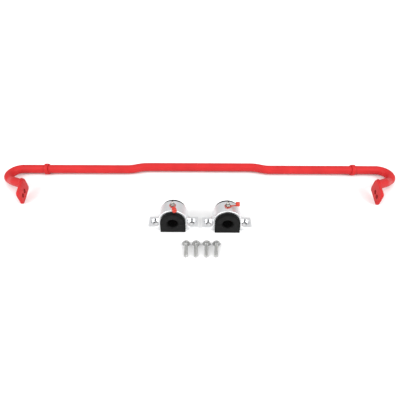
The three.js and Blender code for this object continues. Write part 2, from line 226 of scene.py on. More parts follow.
# The middle of each bolt's flange, and how far its tip is turned sideways, in degrees.
BOLT_PLACES = [(-29.6 * MM, 0.0), (-9.1 * MM, -1.7), (12.3 * MM, -1.7), (32.7 * MM, -4.0)]

ALONG_X = Matrix.Rotation(math.pi / 2, 4, "Y")
ALONG_Y = Matrix.Rotation(math.pi / 2, 4, "X")

# ---- Shapes ---------------------------------------------------------------------------------------


def make_piece(name, shape, place, material, sharp=32):
    """A closed mesh object from a shape's verts and faces, put in its place, and smooth except at edges
    sharper than that many degrees."""
    verts, faces = shape
    mesh = bpy.data.meshes.new(name)
    mesh.from_pydata([tuple(place @ Vector(v)) for v in verts], [], faces)
    mesh.validate()
    cleaner = bmesh.new()
    cleaner.from_mesh(mesh)
    bmesh.ops.remove_doubles(cleaner, verts=cleaner.verts, dist=1e-7)
    bmesh.ops.recalc_face_normals(cleaner, faces=cleaner.faces)
    cleaner.to_mesh(mesh)
    cleaner.free()
    mesh.materials.append(material)
    piece = bpy.data.objects.new(name, mesh)
    bpy.context.scene.collection.objects.link(piece)
    smooth(piece, sharp)
    return piece


def make_tool(shape, place, material):
    """A shape to join to a piece or to cut out of it. The walls that it leaves have its material."""
    return make_piece("tool", shape, place, material)


def smooth(piece, sharp):
    piece.data.shade_smooth()
    piece.data.set_sharp_from_angle(angle=math.radians(sharp))


def settle(piece, sharp):
    """Turns the piece's modifiers into plain mesh."""
    graph = bpy.context.evaluated_depsgraph_get()
    mesh = bpy.data.meshes.new_from_object(piece.evaluated_get(graph))
    old = piece.data
    piece.modifiers.clear()
    piece.data = mesh
    bpy.data.meshes.remove(old)
    mesh.name = piece.name
    smooth(piece, sharp)


def combine(piece, tools, operation, sharp=32):
    """Joins the tools to the piece or cuts them out of it, and removes them."""
    for tool in tools:
        step = piece.modifiers.new("combine", "BOOLEAN")
        step.operation = operation
        step.solver = "EXACT"
        step.material_mode = "TRANSFER"
        step.object = tool
    settle(piece, sharp)
    for tool in tools:
        bpy.data.objects.remove(tool)


def finish_piece(piece, body, slot, *nodes):
    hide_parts(*nodes)
    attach(piece, body)


def arc(cx, cy, radius, start, end, steps):
    """Points of an arc from one angle to another, in degrees, both ends included."""
    angles = np.radians(np.linspace(start, end, steps + 1))
    return [(cx + radius * math.cos(a), cy + radius * math.sin(a)) for a in angles]


def join_loops(loops, closed=False):
    """Verts and faces of a skin over loops of equal length, capped at both ends or closed on itself."""
    count = len(loops[0])
    verts = [v for loop in loops for v in loop]
    faces = []
    bands = len(loops) if closed else len(loops) - 1
    for k in range(bands):
        a, b = k * count, (k + 1) % len(loops) * count
        for i in range(count):
            j = (i + 1) % count
            faces.append([a + i, a + j, b + j, b + i])
    if not closed:
        faces.append(list(range(count)))
        faces.append([(len(loops) - 1) * count + i for i in range(count)])
    return verts, faces


def radial(levels, samples, closed=False):
    """Verts and faces of a shape about Z. Each level is a height, and a radius or a function of the angle
    that gives the radius."""
    loops = []
    for height, radius in levels:
        loop = []
        for i in range(samples):
            a = 2 * math.pi * i / samples
            r = radius(a) if callable(radius) else radius
            loop.append((r * math.cos(a), r * math.sin(a), height))
        loops.append(loop)
    return join_loops(loops, closed)


def rounded(corner_r, corner_z, radius, start, end, steps=4):
    """Profile levels (height, radius) round a corner's centre, angles in degrees from outward."""
    return [(z, r) for r, z in arc(corner_r, corner_z, radius, start, end, steps)]


def edge_rounding(radius, steps):
    """How far below an end face each row of a rounded edge lies, and how far in from the side."""
    angles = [math.radians(90 * k / steps) for k in range(steps + 1)]
    return [(radius * (1 - math.cos(a)), radius * (1 - math.sin(a))) for a in angles]


def hexagon(flats):
    """The radius of a hexagon across flats, as a function of the angle."""
    third = math.pi / 3
    return lambda a: flats / 2 / math.cos((a + third / 2) % third - third / 2)


def least(*limits):
    """The smallest of some radii, each a number or a function of the angle."""
    return lambda a: min(r(a) if callable(r) else r for r in limits)


def most(*limits):
    """The largest of some radii, each a number or a function of the angle."""
    return lambda a: max(r(a) if callable(r) else r for r in limits)


def tube_loops(stations, radius, sides):
    """Loops of a round tube along stations, and the tube's direction at each."""
    points = np.array([tuple(p) for p in stations])
    ahead = np.diff(points, axis=0)
    ahead /= np.linalg.norm(ahead, axis=1)[:, None]
    tangents = np.vstack([ahead[:1], ahead[:-1] + ahead[1:], ahead[-1:]])
    tangents /= np.linalg.norm(tangents, axis=1)[:, None]
    across = np.cross(tangents[0], (0.0, 0.0, 1.0))
    turns = [2 * math.pi * i / sides for i in range(sides)]
    loops = []
    for point, tangent in zip(points, tangents):
        across = across - tangent * (across @ tangent)
        across /= np.linalg.norm(across)
        up = np.cross(across, tangent)
        loops.append([point + radius * (math.cos(a) * across + math.sin(a) * up) for a in turns])
    return loops, tangents


# ---- The bar --------------------------------------------------------------------------------------

BAR_AXIS_Y = sum(c.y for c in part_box("left_locating_collar")) / 2
BAR_AXIS_Z = sum(c.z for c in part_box("left_locating_collar")) / 2
COLLAR_X = sum(c.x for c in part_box("right_locating_collar")) / 2


def on_bar(corner):
    """A place given outboard, forward and up from the bar's axis."""
    out, forward, up = corner
    return Vector((out, BAR_AXIS_Y - forward, BAR_AXIS_Z + up))


def bent(corners, radii, step_degrees=3, straight_step=12 * MM):
    """Stations of a route through corners, each rounded to its bend radius."""
    marks = [corners[0]]
    for before, corner, after, radius in zip(corners, corners[1:], corners[2:], radii):
        incoming = (corner - before).normalized()
        outgoing = (after - corner).normalized()
        bend = incoming.angle(outgoing)
        start = corner - incoming * radius * math.tan(bend / 2)
        axis = incoming.cross(outgoing).normalized()
        centre = start + axis.cross(incoming) * radius
        steps = max(2, math.ceil(math.degrees(bend) / step_degrees))
        for k in range(steps + 1):
            marks.append(Matrix.Rotation(bend * k / steps, 3, axis) @ (start - centre) + centre)
    marks.append(corners[-1])
    stations = [marks[0]]
    for a, b in zip(marks, marks[1:]):
        parts = max(1, round((b - a).length / straight_step))
        stations += [a.lerp(b, (i + 1) / parts) for i in range(parts)]
    return stations


def half_route(shift):
    """Stations from the bar's middle to its right tip."""
    corners = [
        on_bar((0, -BAR_OFFSET, 0)),
        on_bar((BAR_OFFSET_START + shift, -BAR_OFFSET, 0)),
        on_bar((BAR_OFFSET_END + shift, 0, 0)),
        on_bar(HOOK_TURN),
        on_bar(HOOK_RISE),
        on_bar(HOOK_LEVEL),
        on_bar(HOOK_END),
    ]
    radii = [BAR_OFFSET_BEND, BAR_OFFSET_BEND, BAR_HOOK_BEND, BAR_HOOK_BEND, BAR_HOOK_BEND]
    return bent(corners, radii)


def flip(point):
    return Vector((-point.x, point.y, point.z))


# The right plate's own directions, and the matrix that puts a shape drawn with x forward, y up and
# z inboard, centred on the tube's end, in its place.
OUTBOARD = Vector((math.cos(PLATE_TOE_IN), -math.sin(PLATE_TOE_IN), 0))
PLATE_LEVEL = -Vector((0, 0, 1)).cross(OUTBOARD)
PLATE_FORWARD = PLATE_LEVEL * math.cos(PLATE_DROOP) - Vector((0, 0, math.sin(PLATE_DROOP)))
PLATE_UP = -OUTBOARD.cross(PLATE_FORWARD)
HOOK_TIP = on_bar(HOOK_END)


def plate_matrix(side):
    columns = Matrix((PLATE_FORWARD, PLATE_UP, -OUTBOARD)).transposed().to_4x4()
    columns.translation = HOOK_TIP
    return Matrix.Diagonal((side, 1, 1, 1)) @ columns


def trimmed(loop, direction, plane_point, normal):
    """A loop slid along the tube onto a plane."""
    return [
        Vector(v) + direction * ((plane_point - Vector(v)).dot(normal) / direction.dot(normal))
        for v in loop
    ]


def build_bar(material):
    right = half_route(-BAR_OFFSET_SHIFT)
    left = [flip(p) for p in half_route(BAR_OFFSET_SHIFT)]
    stations = left[::-1] + right[1:]
    loops, tangents = tube_loops(stations, BAR_RADIUS, 48)
    buried = HOOK_TIP - OUTBOARD * MM
    loops[0] = trimmed(loops[1], Vector(tangents[0]), flip(buried), flip(OUTBOARD))
    loops[-1] = trimmed(loops[-2], Vector(tangents[-1]), buried, OUTBOARD)
    bar = make_piece("bar_rod", join_loops(loops), Matrix.Identity(4), material)
    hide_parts("left_bar_half", "right_bar_half")
    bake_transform(bar)


def build_collar(side, material):
    half, edge = COLLAR_WIDTH / 2, COLLAR_ROUNDING
    crest = COLLAR_RADIUS - edge
    levels = [(-half, COLLAR_BORE), (-half, COLLAR_MOUTH)]
    levels += rounded(crest, edge - half, edge, -90, 0)
    levels += rounded(crest, half - edge, edge, 0, 90)
    levels += [(half, COLLAR_MOUTH), (half, COLLAR_BORE)]
    place = Matrix.Translation((SIDES[side] * COLLAR_X, BAR_AXIS_Y, BAR_AXIS_Z)) @ ALONG_X
    shape = radial(levels, 64, closed=True)
    collar = make_piece(f"{side}_collar_ring", shape, place, material)
    finish_piece(collar, f"bar_{side}", "bar_coat", f"{side}_locating_collar")


def plate_outline(inset):
    """The plate's outline, forward and up from the tube's centre, pulled in by the inset."""
    left, right = -PLATE_MARGIN, PLATE_LENGTH - PLATE_MARGIN
    top, bottom = PLATE_MARGIN, PLATE_MARGIN - PLATE_HEIGHT
    corners = [
        (right - PLATE_CORNER, bottom + PLATE_CORNER, PLATE_CORNER, -90),
        (right - PLATE_CORNER, top - PLATE_CORNER, PLATE_CORNER, 0),
        (left + PLATE_MARGIN, top - PLATE_MARGIN, PLATE_MARGIN, 90),
        (left + PLATE_CORNER, bottom + PLATE_CORNER, PLATE_CORNER, 180),
    ]
    return [p for x, y, r, a in corners for p in arc(x, y, r - inset, a, a + 90, 12)]


def plate_holes():
    """Centres of the rear and the front hole, forward and up from the tube's centre."""
    middle = PLATE_LENGTH / 2 - PLATE_MARGIN + PLATE_HOLE_MID
    height = PLATE_MARGIN - PLATE_HEIGHT / 2 - PLATE_HOLE_DROP
    return [(middle + side * PLATE_HOLE_SPACING / 2, height) for side in (-1, 1)]


def through_tool(radius, low, high, flare):
    """A drill from below low to above high whose mouth flares at both."""
    spare = 3 * MM
    levels = [
        (low - spare, radius + flare + spare),
        (low + flare, radius),
        (high - flare, radius),
        (high + spare, radius + flare + spare),
    ]
    return radial(levels, 48)


def build_plate(side, material, painted_shade_hole_material):
    matrix = plate_matrix(SIDES[side])
    rise = edge_rounding(PLATE_BEVEL, 3)
    levels = rise + [(PLATE_THICKNESS - z, inset) for z, inset in reversed(rise)]
    loops = [[(x, y, z) for x, y in plate_outline(inset)] for z, inset in levels]
    plate = make_piece(f"{side}_plate", join_loops(loops), matrix, material)
    # The holes' walls take the darker red coat, which is painted shade.
    drill = through_tool(PLATE_HOLE, 0, PLATE_THICKNESS, PLATE_HOLE_FLARE)
    spots = [matrix @ Matrix.Translation((x, y, 0)) for x, y in plate_holes()]
    combine(plate, [make_tool(drill, spot, painted_shade_hole_material) for spot in spots], "DIFFERENCE")
    finish_piece(plate, f"bar_{side}", "bar_coat", f"{side}_link_plate")


def build_weld(side, material):
    """A rippled bead that follows the tube's edge on the plate's outer face."""
    inward = (on_bar(HOOK_END) - on_bar(HOOK_LEVEL)).normalized()
    square = plate_matrix(1).to_3x3().inverted() @ inward
    across = square.cross(Vector((0, 0, 1))).normalized()
    up = across.cross(square).normalized()
    samples, sides = 260, 14
    hole = Vector((*plate_holes()[0], 0))
    rim, widths = [], []
    for i in range(samples):
        a = 2 * math.pi * i / samples
        edge = (across * math.cos(a) + up * math.sin(a)) * BAR_RADIUS
        edge -= square * (edge.z / square.z)
        rim.append(edge)
        room = (edge - hole).length - PLATE_HOLE - WELD_HOLE_CLEARANCE
        widths.append(max(WELD_LEAST, min(WELD_THROAT, room)))
    steps = [(b - a).length for a, b in zip(rim, rim[1:] + rim[:1])]
    ripples = round(sum(steps) / WELD_RIPPLE)
    travel = np.cumsum([0, *steps[:-1]]) / sum(steps) * ripples
    loops = []
    for i, (edge, width, phase) in enumerate(zip(rim, widths, travel)):
        out = edge.normalized()
        swell = width * (1 + WELD_SWELL * math.cos(2 * math.pi * phase))
        along = (rim[(i + 1) % samples] - rim[i - 1]).normalized()
        loop = []
        for k in range(sides):
            b = 2 * math.pi * k / sides
            offset = out * math.cos(b) * swell - Vector((0, 0, 1)) * math.sin(b) * swell
            loop.append(edge + offset + along * WELD_LEAN * math.cos(b))
        loops.append(loop)
    shape = join_loops(loops, closed=True)
    weld = make_piece(f"{side}_weld_bead", shape, plate_matrix(SIDES[side]), material, 60)
    finish_piece(weld, f"bar_{side}", "bar_coat", f"{side}_plate_weld")


# ---- Brackets -------------------------------------------------------------------------------------


def bracket_place(side):
    """The middle of the bracket's foot."""
    low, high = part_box(f"{side}_bracket_housing")
    return Matrix.Translation(((low.x + high.x) / 2, (low.y + high.y) / 2, 0))


def saddle_outline(inset):
    """The saddle's outline: out along one foot, up over the dome, down to the other foot and back along
    the arch. It is pulled in by the inset."""
    inner = SADDLE_INNER + inset
    width, ear = SADDLE_HALF_WIDTH - inset, SADDLE_EAR - inset
    foot_centre = SADDLE_DOME + SADDLE_FILLET
    foot_height = SADDLE_EAR + SADDLE_FILLET
    return [
        (inner, inset),
        (width, inset),
        (width, ear),
        *arc(foot_centre, foot_height, SADDLE_FILLET + inset, -90, -180, 14),
        *arc(0, SADDLE_ARC_HEIGHT, SADDLE_DOME - inset, 0, 180, 72),
        *arc(-foot_centre, foot_height, SADDLE_FILLET + inset, 0, -90, 14),
        (-width, ear),
        (-width, inset),
        (-inner, inset),
        *arc(0, SADDLE_ARC_HEIGHT, inner, 180, 0, 60),
    ]


def seat_tool():
    """The cutter of a bolt seat in an ear."""
    floor = SADDLE_EAR - SEAT_DEPTH
    levels = [
        (floor, SEAT_RADIUS - SEAT_CORNER),
        (floor + SEAT_CORNER, SEAT_RADIUS),
        (SADDLE_EAR - RIM_CHAMFER, SEAT_RADIUS),
        (SADDLE_EAR, SEAT_RADIUS + RIM_CHAMFER),
        (DOME_TOP, SEAT_RADIUS + RIM_CHAMFER),
    ]
    return radial(levels, 64)


def fitting_hole_tool():
    """The cutter of the hole that the grease fitting screws into, and of the flat that it sits on."""
    tapped = FITTING_THREAD + FITTING_THREAD_ROOM
    spot_face = FITTING_FLATS / math.sqrt(3) + FITTING_SEAT_ROOM
    levels = [
        (SADDLE_ARC_HEIGHT, tapped),
        (DOME_TOP - FITTING_SEAT, tapped),
        (DOME_TOP - FITTING_SEAT, spot_face),
        (DOME_TOP + SPARE, spot_face),
    ]
    return radial(levels, 48)


def build_housing(side, material, seat_material, painted_shade_drill_material):
    place = bracket_place(side)
    half = SADDLE_DEPTH / 2
    levels = [(-half, SADDLE_CHAMFER), (SADDLE_CHAMFER - half, 0)]
    levels += [(-y, inset) for y, inset in reversed(levels)]
    loops = [[(x, y, z) for x, z in saddle_outline(inset)] for y, inset in levels]
    housing = make_piece(f"{side}_housing", join_loops(loops), place, material)
    # The through holes' walls take the dark billet, which is painted shade.
    drill = through_tool(SEAT_HOLE, 0, SADDLE_EAR - SEAT_DEPTH, RIM_CHAMFER)
    tools = []
    for turn in SIDES.values():
        spot = place @ Matrix.Translation((turn * SEAT_OUT, 0, 0))
        tools += [make_tool(seat_tool(), spot, seat_material), make_tool(drill, spot, painted_shade_drill_material)]
    tools.append(make_tool(fitting_hole_tool(), place, material))
    combine(housing, tools, "DIFFERENCE", 25)
    finish_piece(housing, f"bracket_{side}", "billet", f"{side}_bracket_housing")


def arch_outline(radius, base):
    """The bushing's outline: an arch on a flat base."""
    return [
        (radius, base),
        *arc(0, SADDLE_ARC_HEIGHT, radius, 0, 180, 72),
        (-radius, base),
    ]


def bore_tool(half):
    """The cutter of a bore with flared mouths and grease grooves, from one end at -half to the other."""
    levels = [
        (-half - SPARE, BUSHING_BORE + BUSHING_MOUTH + SPARE),
        (-half + BUSHING_MOUTH, BUSHING_BORE),
    ]
    for groove in GROOVE_PLACES:
        levels += [
            (groove - 2 * GROOVE_DEPTH, BUSHING_BORE),
            (groove - GROOVE_DEPTH, BUSHING_BORE + GROOVE_DEPTH),
            (groove + GROOVE_DEPTH, BUSHING_BORE + GROOVE_DEPTH),
            (groove + 2 * GROOVE_DEPTH, BUSHING_BORE),
        ]
    levels += [
        (half - BUSHING_MOUTH, BUSHING_BORE),
        (half + SPARE, BUSHING_BORE + BUSHING_MOUTH + SPARE),
    ]
    return radial(levels, 64)


def slit_tool(side, half):
    """The cutter of the slit from the bore to one side."""
    near, far = [BUSHING_SLIT_SIDE[side] * x for x in (BUSHING_BORE - SPARE, BUSHING_RADIUS + SPARE)]
    low, high = -BUSHING_SLIT / 2, BUSHING_SLIT / 2
    section = [(near, low), (far, low), (far, high), (near, high)]
    return join_loops([[(x, y, z) for x, z in section] for y in (-half - MM, half + MM)])


def build_bushing(side, material, face_material):
    place = bracket_place(side)
    half = SADDLE_DEPTH / 2 + BUSHING_PROUD
    lip_end = half - BUSHING_LIP
    levels = [(-half, BUSHING_RADIUS - BUSHING_RIM, BUSHING_RIM)]
    for depth, inset in edge_rounding(BUSHING_EDGE, 4):
        levels.append((depth - half, BUSHING_RADIUS - inset, inset))
    levels += [(-lip_end, BUSHING_RADIUS, 0), (-lip_end, BUSHING_WAIST, 0)]
    levels += [(-y, radius, base) for y, radius, base in reversed(levels)]
    loops = [[(x, y, z) for x, z in arch_outline(radius, base)] for y, radius, base in levels]
    bushing = make_piece(f"{side}_bushing_body", join_loops(loops), place, material)
    # The end faces inside the rim take the lighter urethane; the rim band and sides keep the darker one.
    bushing.data.materials.append(face_material)
    for face in bushing.data.polygons:
        if len(face.vertices) > 4:  # the two end caps
            face.material_index = 1
    centre = place @ Matrix.Translation((0, 0, SADDLE_ARC_HEIGHT))
    passage = radial([(BUSHING_BORE / 2, BUSHING_PASSAGE), (SADDLE_DOME, BUSHING_PASSAGE)], 32)
    tools = [
        make_tool(bore_tool(half), centre @ ALONG_Y, material),
        make_tool(slit_tool(side, half), centre, material),
        make_tool(passage, centre, material),
    ]
    combine(bushing, tools, "DIFFERENCE", 25)
    finish_piece(bushing, f"bushing_{side}", "urethane", f"{side}_bushing")


def fitting_place(side):
    """The top of the bracket's dome."""
    return bracket_place(side) @ Matrix.Translation((0, 0, DOME_TOP))


def build_fitting(side, material):
    flats = hexagon(FITTING_FLATS)
    corner = FITTING_FLATS / math.sqrt(3)
    cut = FITTING_CORNER_CUT
    seat = 0.02 * MM - FITTING_SEAT  # a hair above the flat that it sits on
    thread = [
        (FITTING_BOTTOM, FITTING_CHAMFER),
        (FITTING_BOTTOM, FITTING_THREAD - FITTING_CHAMFER),
        (FITTING_BOTTOM + FITTING_CHAMFER, FITTING_THREAD),
        (seat, FITTING_THREAD),
    ]
    hexagonal = [
        (seat, least(flats, corner - cut)),
        (seat + 0.25 * MM, least(flats, corner - 0.4 * cut)),
        (seat + 0.55 * MM, flats),
        (FITTING_HEX_TOP - 0.6 * MM, flats),
        (FITTING_HEX_TOP - 0.3 * MM, least(flats, corner - 0.5 * cut)),
        (FITTING_HEX_TOP, least(flats, corner - 1.2 * cut)),
    ]
    neck = [
        (FITTING_HEX_TOP, FITTING_NECK + 0.5 * MM),
        (FITTING_HEX_TOP + 0.5 * MM, FITTING_NECK),
        (FITTING_NECK_TOP - 0.3 * MM, FITTING_NECK - 0.15 * MM),
        (FITTING_NECK_TOP, FITTING_NECK),
    ]
    head = [
        (FITTING_HEAD_LOW - 0.15 * MM, FITTING_HEAD - 0.2 * MM),
        (FITTING_HEAD_LOW + 0.1 * MM, FITTING_HEAD),
        (FITTING_HEAD_HIGH - 0.1 * MM, FITTING_HEAD),
        (FITTING_HEAD_HIGH + 0.3 * MM, FITTING_HEAD - 0.25 * MM),
        (FITTING_TIP - 0.7 * MM, FITTING_NECK - 0.35 * MM),
        (FITTING_TIP - 0.15 * MM, FITTING_NECK - 0.75 * MM),
        (FITTING_TIP, FITTING_NECK - 1.05 * MM),
    ]
    passage = [
        (FITTING_TIP, FITTING_INLET + 0.15 * MM),
        (FITTING_TIP - 0.15 * MM, FITTING_INLET),
        (FITTING_TIP - 0.8 * MM, FITTING_INLET),
        (FITTING_TIP - 1.6 * MM, FITTING_PASSAGE),
        (FITTING_BOTTOM + 0.8 * MM, FITTING_PASSAGE),
        (FITTING_BOTTOM + 0.8 * MM, FITTING_CHAMFER),
    ]
    shape = radial(thread + hexagonal + neck + head + passage, 96, closed=True)
    fitting = make_piece(f"{side}_grease_nipple", shape, fitting_place(side), material, 24)
    finish_piece(fitting, f"bracket_{side}", "zinc_plate", f"{side}_grease_fitting")


def build_ball(side, material):
    shape = radial(rounded(0, BALL_HEIGHT, BALL_RADIUS, -88, 88, 24), 36)
    ball = make_piece(f"{side}_valve_ball", shape, fitting_place(side), material)
    finish_piece(ball, f"check_ball_{side}", "ball_steel", f"{side}_check_ball")


def build_spring(side, material):
    """The check ball's spring under the ball; the mesh keeps one length, though the real spring shortens
    as the ball is pressed in.
    """
    per_turn = 24
    steps = SPRING_TURNS * per_turn
    low, high = SPRING_LOW + SPRING_WIRE, SPRING_HIGH - SPRING_WIRE
    stations = []
    for i in range(steps + 1):
        a = 2 * math.pi * i / per_turn
        rise = low + (high - low) * i / steps
        stations.append((SPRING_COIL * math.cos(a), SPRING_COIL * math.sin(a), rise))
    loops, _ = tube_loops(stations, SPRING_WIRE, 8)
    place = fitting_place(side)
    spring = make_piece(f"{side}_valve_spring", join_loops(loops), place, material, 60)
    finish_piece(spring, f"bracket_{side}", "spring_steel", f"{side}_check_spring")
    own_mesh(spring)


def cap_ring(low, high):
    outer, inner = CAP_RING_OUTER - CAP_EDGE, CAP_RING_INNER + CAP_EDGE
    levels = rounded(outer, low + CAP_EDGE, CAP_EDGE, -90, 0)
    levels += rounded(outer, high - CAP_EDGE, CAP_EDGE, 0, 90)
    levels += rounded(inner, high - CAP_EDGE, CAP_EDGE, 90, 180)
    levels += rounded(inner, low + CAP_EDGE, CAP_EDGE, 180, 270)
    return radial(levels, 72, closed=True)


def cap_strap(low):
    """A flat strap from inside the ring to inside the cup's wall, narrower halfway along."""
    start = (CAP_RING_INNER + CAP_RING_OUTER) / 2
    end = CAP_CUP_START + 0.6 * CAP_CUP_WALL
    half_width, half_height = CAP_STRAP_WIDTH / 2, CAP_STRAP_THICKNESS / 2
    loops = []
    for x in np.linspace(start, end, 24):
        share = (x - start) / (end - start)
        waist = half_width * (1 - CAP_STRAP_WAIST * math.sin(math.pi * share))
        section = []
        for sx, sz, turn in ((1, 1, 0), (-1, 1, 90), (-1, -1, 180), (1, -1, 270)):
            corner = (sx * (waist - CAP_EDGE), sz * (half_height - CAP_EDGE))
            section += arc(*corner, CAP_EDGE, turn, turn + 90, 4)
        loops.append([(x, y, low + half_height + z) for y, z in section])
    return join_loops(loops)


def cap_cup():
    """The cup, about its own axis, with its mouth towards the ring."""
    hollow = CAP_CUP_RADIUS - CAP_CUP_WALL
    floor = CAP_CUP_END - CAP_CUP_WALL
    grip_start, grip_end = CAP_CUP_START + CAP_GRIP_START, CAP_CUP_START + CAP_GRIP_END
    crown = (CAP_CUP_RADIUS - CAP_CUP_ROUNDING, CAP_CUP_END - CAP_CUP_ROUNDING)
    levels = [(CAP_CUP_END, CAP_CUP_POLE)]
    levels += rounded(*crown, CAP_CUP_ROUNDING, 90, 0, 6)
    levels += [
        (grip_end, CAP_CUP_RADIUS),
        (grip_end - CAP_GRIP_SLOPE, CAP_CUP_RADIUS - CAP_GRIP_DEPTH),
        (grip_start + CAP_GRIP_SLOPE, CAP_CUP_RADIUS - CAP_GRIP_DEPTH),
        (grip_start, CAP_CUP_RADIUS),
    ]
    levels += rounded(CAP_CUP_RADIUS - CAP_EDGE, CAP_CUP_START + CAP_EDGE, CAP_EDGE, 0, -90)
    levels += rounded(hollow + CAP_EDGE, CAP_CUP_START + CAP_EDGE, CAP_EDGE, -90, -180)
    levels += [
        (floor - CAP_CUP_CORNER, hollow),
        (floor, hollow - CAP_CUP_CORNER),
        (floor, CAP_CUP_POLE),
    ]
    return radial(levels, 64)


def build_cap(side, material):
    """The dust cap: a ring round the fitting, a strap and a cup, one soft moulding."""
    low, high = CAP_CLEARANCE, CAP_CLEARANCE + CAP_STRAP_THICKNESS
    place = fitting_place(side) @ Matrix.Rotation(CAP_TURN[side], 4, "Z")
    cup_axis = place @ Matrix.Translation((0, 0, low + CAP_CUP_RADIUS)) @ ALONG_X
    cap = make_piece(f"{side}_cap", cap_ring(low, high), place, material)
    tools = [make_tool(cap_strap(low), place, material), make_tool(cap_cup(), cup_axis, material)]
    combine(cap, tools, "UNION", 40)
    finish_piece(cap, f"dust_cap_{side}", "red_plastic", f"{side}_dust_cap")


# ---- Bolts ----------------------------------------------------------------------------------------

# A bolt lies on its flange's edge and its tip: the angle between its axis and the surface.
BOLT_LIE = math.atan((BOLT_FLANGE - BOLT_SHANK) / (BOLT_LENGTH - BOLT_CHAMFER))


def thread(height):
    """The radius round a right-hand thread at one height, fading out towards the tip and the flange."""
    start, end = BOLT_CHAMFER - BOLT_LENGTH, -BOLT_PLAIN
    fade = min(1, max(0, (end - height) / BOLT_PITCH))
    tip_limit = BOLT_TIP + (height + BOLT_LENGTH) * (BOLT_SHANK - BOLT_TIP) / BOLT_CHAMFER
    crest = BOLT_SHANK if height > start else tip_limit

    def radius(a):
        phase = (height / BOLT_PITCH - a / (2 * math.pi)) % 1
        flank = BOLT_THREAD_FLANK * (0.5 - abs(phase - 0.5)) - BOLT_THREAD_ROOT
        ridge = min(1, max(0, flank))
        root = BOLT_SHANK - BOLT_THREAD_DEPTH * fade
        return min(crest, root + (BOLT_SHANK - root) * ridge)

    return radius


def bolt_levels():
    """The bolt from its tip at -BOLT_LENGTH to its head's top, with the flange's underside at zero."""
    corner = BOLT_FLATS / math.sqrt(3)
    flats = hexagon(BOLT_FLATS)
    levels = [
        (BOLT_RECESS - BOLT_LENGTH, BOLT_POLE),
        (BOLT_RECESS - BOLT_LENGTH, BOLT_TIP - BOLT_RECESS_RIM),
        (-BOLT_LENGTH, BOLT_TIP - BOLT_TIP_RIM),
    ]
    rows = round((BOLT_LENGTH - BOLT_PLAIN) / BOLT_PITCH * BOLT_THREAD_ROWS)
    first = 0.02 * MM  # keeps the first row off the tip's rim
    for k in range(rows + 1):
        height = -BOLT_LENGTH + first + (BOLT_LENGTH - BOLT_PLAIN - first) * k / rows
        levels.append((height, thread(height)))
    fillet, edge = BOLT_NECK_FILLET, BOLT_FLANGE_ROUNDING
    levels.append((-BOLT_NECK, BOLT_SHANK))
    levels += rounded(BOLT_SHANK + fillet, -fillet, fillet, 180, 90)
    levels.append((0, BOLT_FLANGE - edge))
    levels += rounded(BOLT_FLANGE - edge, edge, edge, -90, 0)
    levels += rounded(BOLT_FLANGE - edge, BOLT_FLANGE_EDGE - edge, edge, 0, 75)
    steps = 12
    slope = (BOLT_FLANGE_TOP - BOLT_FLANGE_EDGE) / (BOLT_FLANGE - BOLT_FLATS / 2)
    for k in range(steps + 1):
        height = BOLT_FLANGE_EDGE + (BOLT_FLANGE_TOP - BOLT_FLANGE_EDGE) * k / steps
        cone = BOLT_FLANGE - BOLT_FLANGE_STEP - (height - BOLT_FLANGE_EDGE) / slope
        levels.append((height, most(cone, flats)))
    levels += [(BOLT_HEAD - drop, least(flats, corner - cut)) for drop, cut in BOLT_CROWN]
    levels += [(BOLT_HEAD - drop, radius) for drop, radius in BOLT_DISH]
    return levels


def build_bolt(number, material):
    x, yaw = BOLT_PLACES[number - 1]
    heading = Matrix.Rotation(math.radians(yaw), 4, "Z")
    lying = Matrix.Rotation(BOLT_LIE - math.pi / 2, 4, "X")
    flange = Matrix.Translation((x, BOLT_ROW_Y, BOLT_FLANGE * math.cos(BOLT_LIE)))
    shape = radial(bolt_levels(), 72)
    bolt = make_piece(f"bolt_{number}_m8", shape, flange @ heading @ lying, material, 28)
    finish_piece(bolt, f"bolt_{number}", "zinc_plate", f"flange_bolt_{number}")


# ---- Materials ------------------------------------------------------------------------------------


def add_ramp(tree, factor, stops):
    """A ramp through (position, colour or grey) stops."""
    node = tree.nodes.new("ShaderNodeValToRGB")
    while len(node.color_ramp.elements) < len(stops):
        node.color_ramp.elements.new(1)
    for element, (position, value) in zip(node.color_ramp.elements, stops):
        element.position = position
        element.color = (*value, 1) if isinstance(value, tuple) else (value, value, value, 1)
    tree.links.new(factor, node.inputs["Fac"])
    return node.outputs["Color"]


class Finish:
    """A material on one Principled shader, whose colour, roughness and bump are built from noise."""

    def __init__(self, name, **constants):
        self.material = bpy.data.materials.new(name)
        self.material.use_nodes = True
        self.tree = self.material.node_tree
        self.shader = self.tree.nodes["Principled BSDF"]
        for socket, value in constants.items():
            self.shader.inputs[socket.replace("_", " ")].default_value = value
        self.coordinates = self.tree.nodes.new("ShaderNodeTexCoord").outputs["Object"]
        self.normal = None

    def noise(self, size, detail=3, stretch=(1, 1, 1)):
        """Noise whose features are about that many metres across."""
        spread = self.tree.nodes.new("ShaderNodeMapping")
        spread.inputs["Scale"].default_value = stretch
        self.tree.links.new(self.coordinates, spread.inputs["Vector"])
        texture = self.tree.nodes.new("ShaderNodeTexNoise")
        texture.inputs["Scale"].default_value = 1 / size
        texture.inputs["Detail"].default_value = detail
        self.tree.links.new(spread.outputs["Vector"], texture.inputs["Vector"])
        return texture.outputs["Fac"]

    def colour(self, pattern, *stops):
        self.tree.links.new(add_ramp(self.tree, pattern, stops), self.shader.inputs["Base Color"])

    def roughness(self, pattern, low, high):
        stops = [(0.3, low), (0.7, high)]
        self.tree.links.new(add_ramp(self.tree, pattern, stops), self.shader.inputs["Roughness"])

    def bump(self, pattern, depth):
        """A bump that deep, on top of the bumps before it."""
        node = self.tree.nodes.new("ShaderNodeBump")
        node.inputs["Strength"].default_value = 1
        node.inputs["Distance"].default_value = depth
        self.tree.links.new(pattern, node.inputs["Height"])
        if self.normal:
            self.tree.links.new(self.normal, node.inputs["Normal"])
        self.normal = node.outputs["Normal"]
        self.tree.links.new(self.normal, self.shader.inputs["Normal"])


def dimmed(colour, share):
    return tuple(share * c for c in colour)


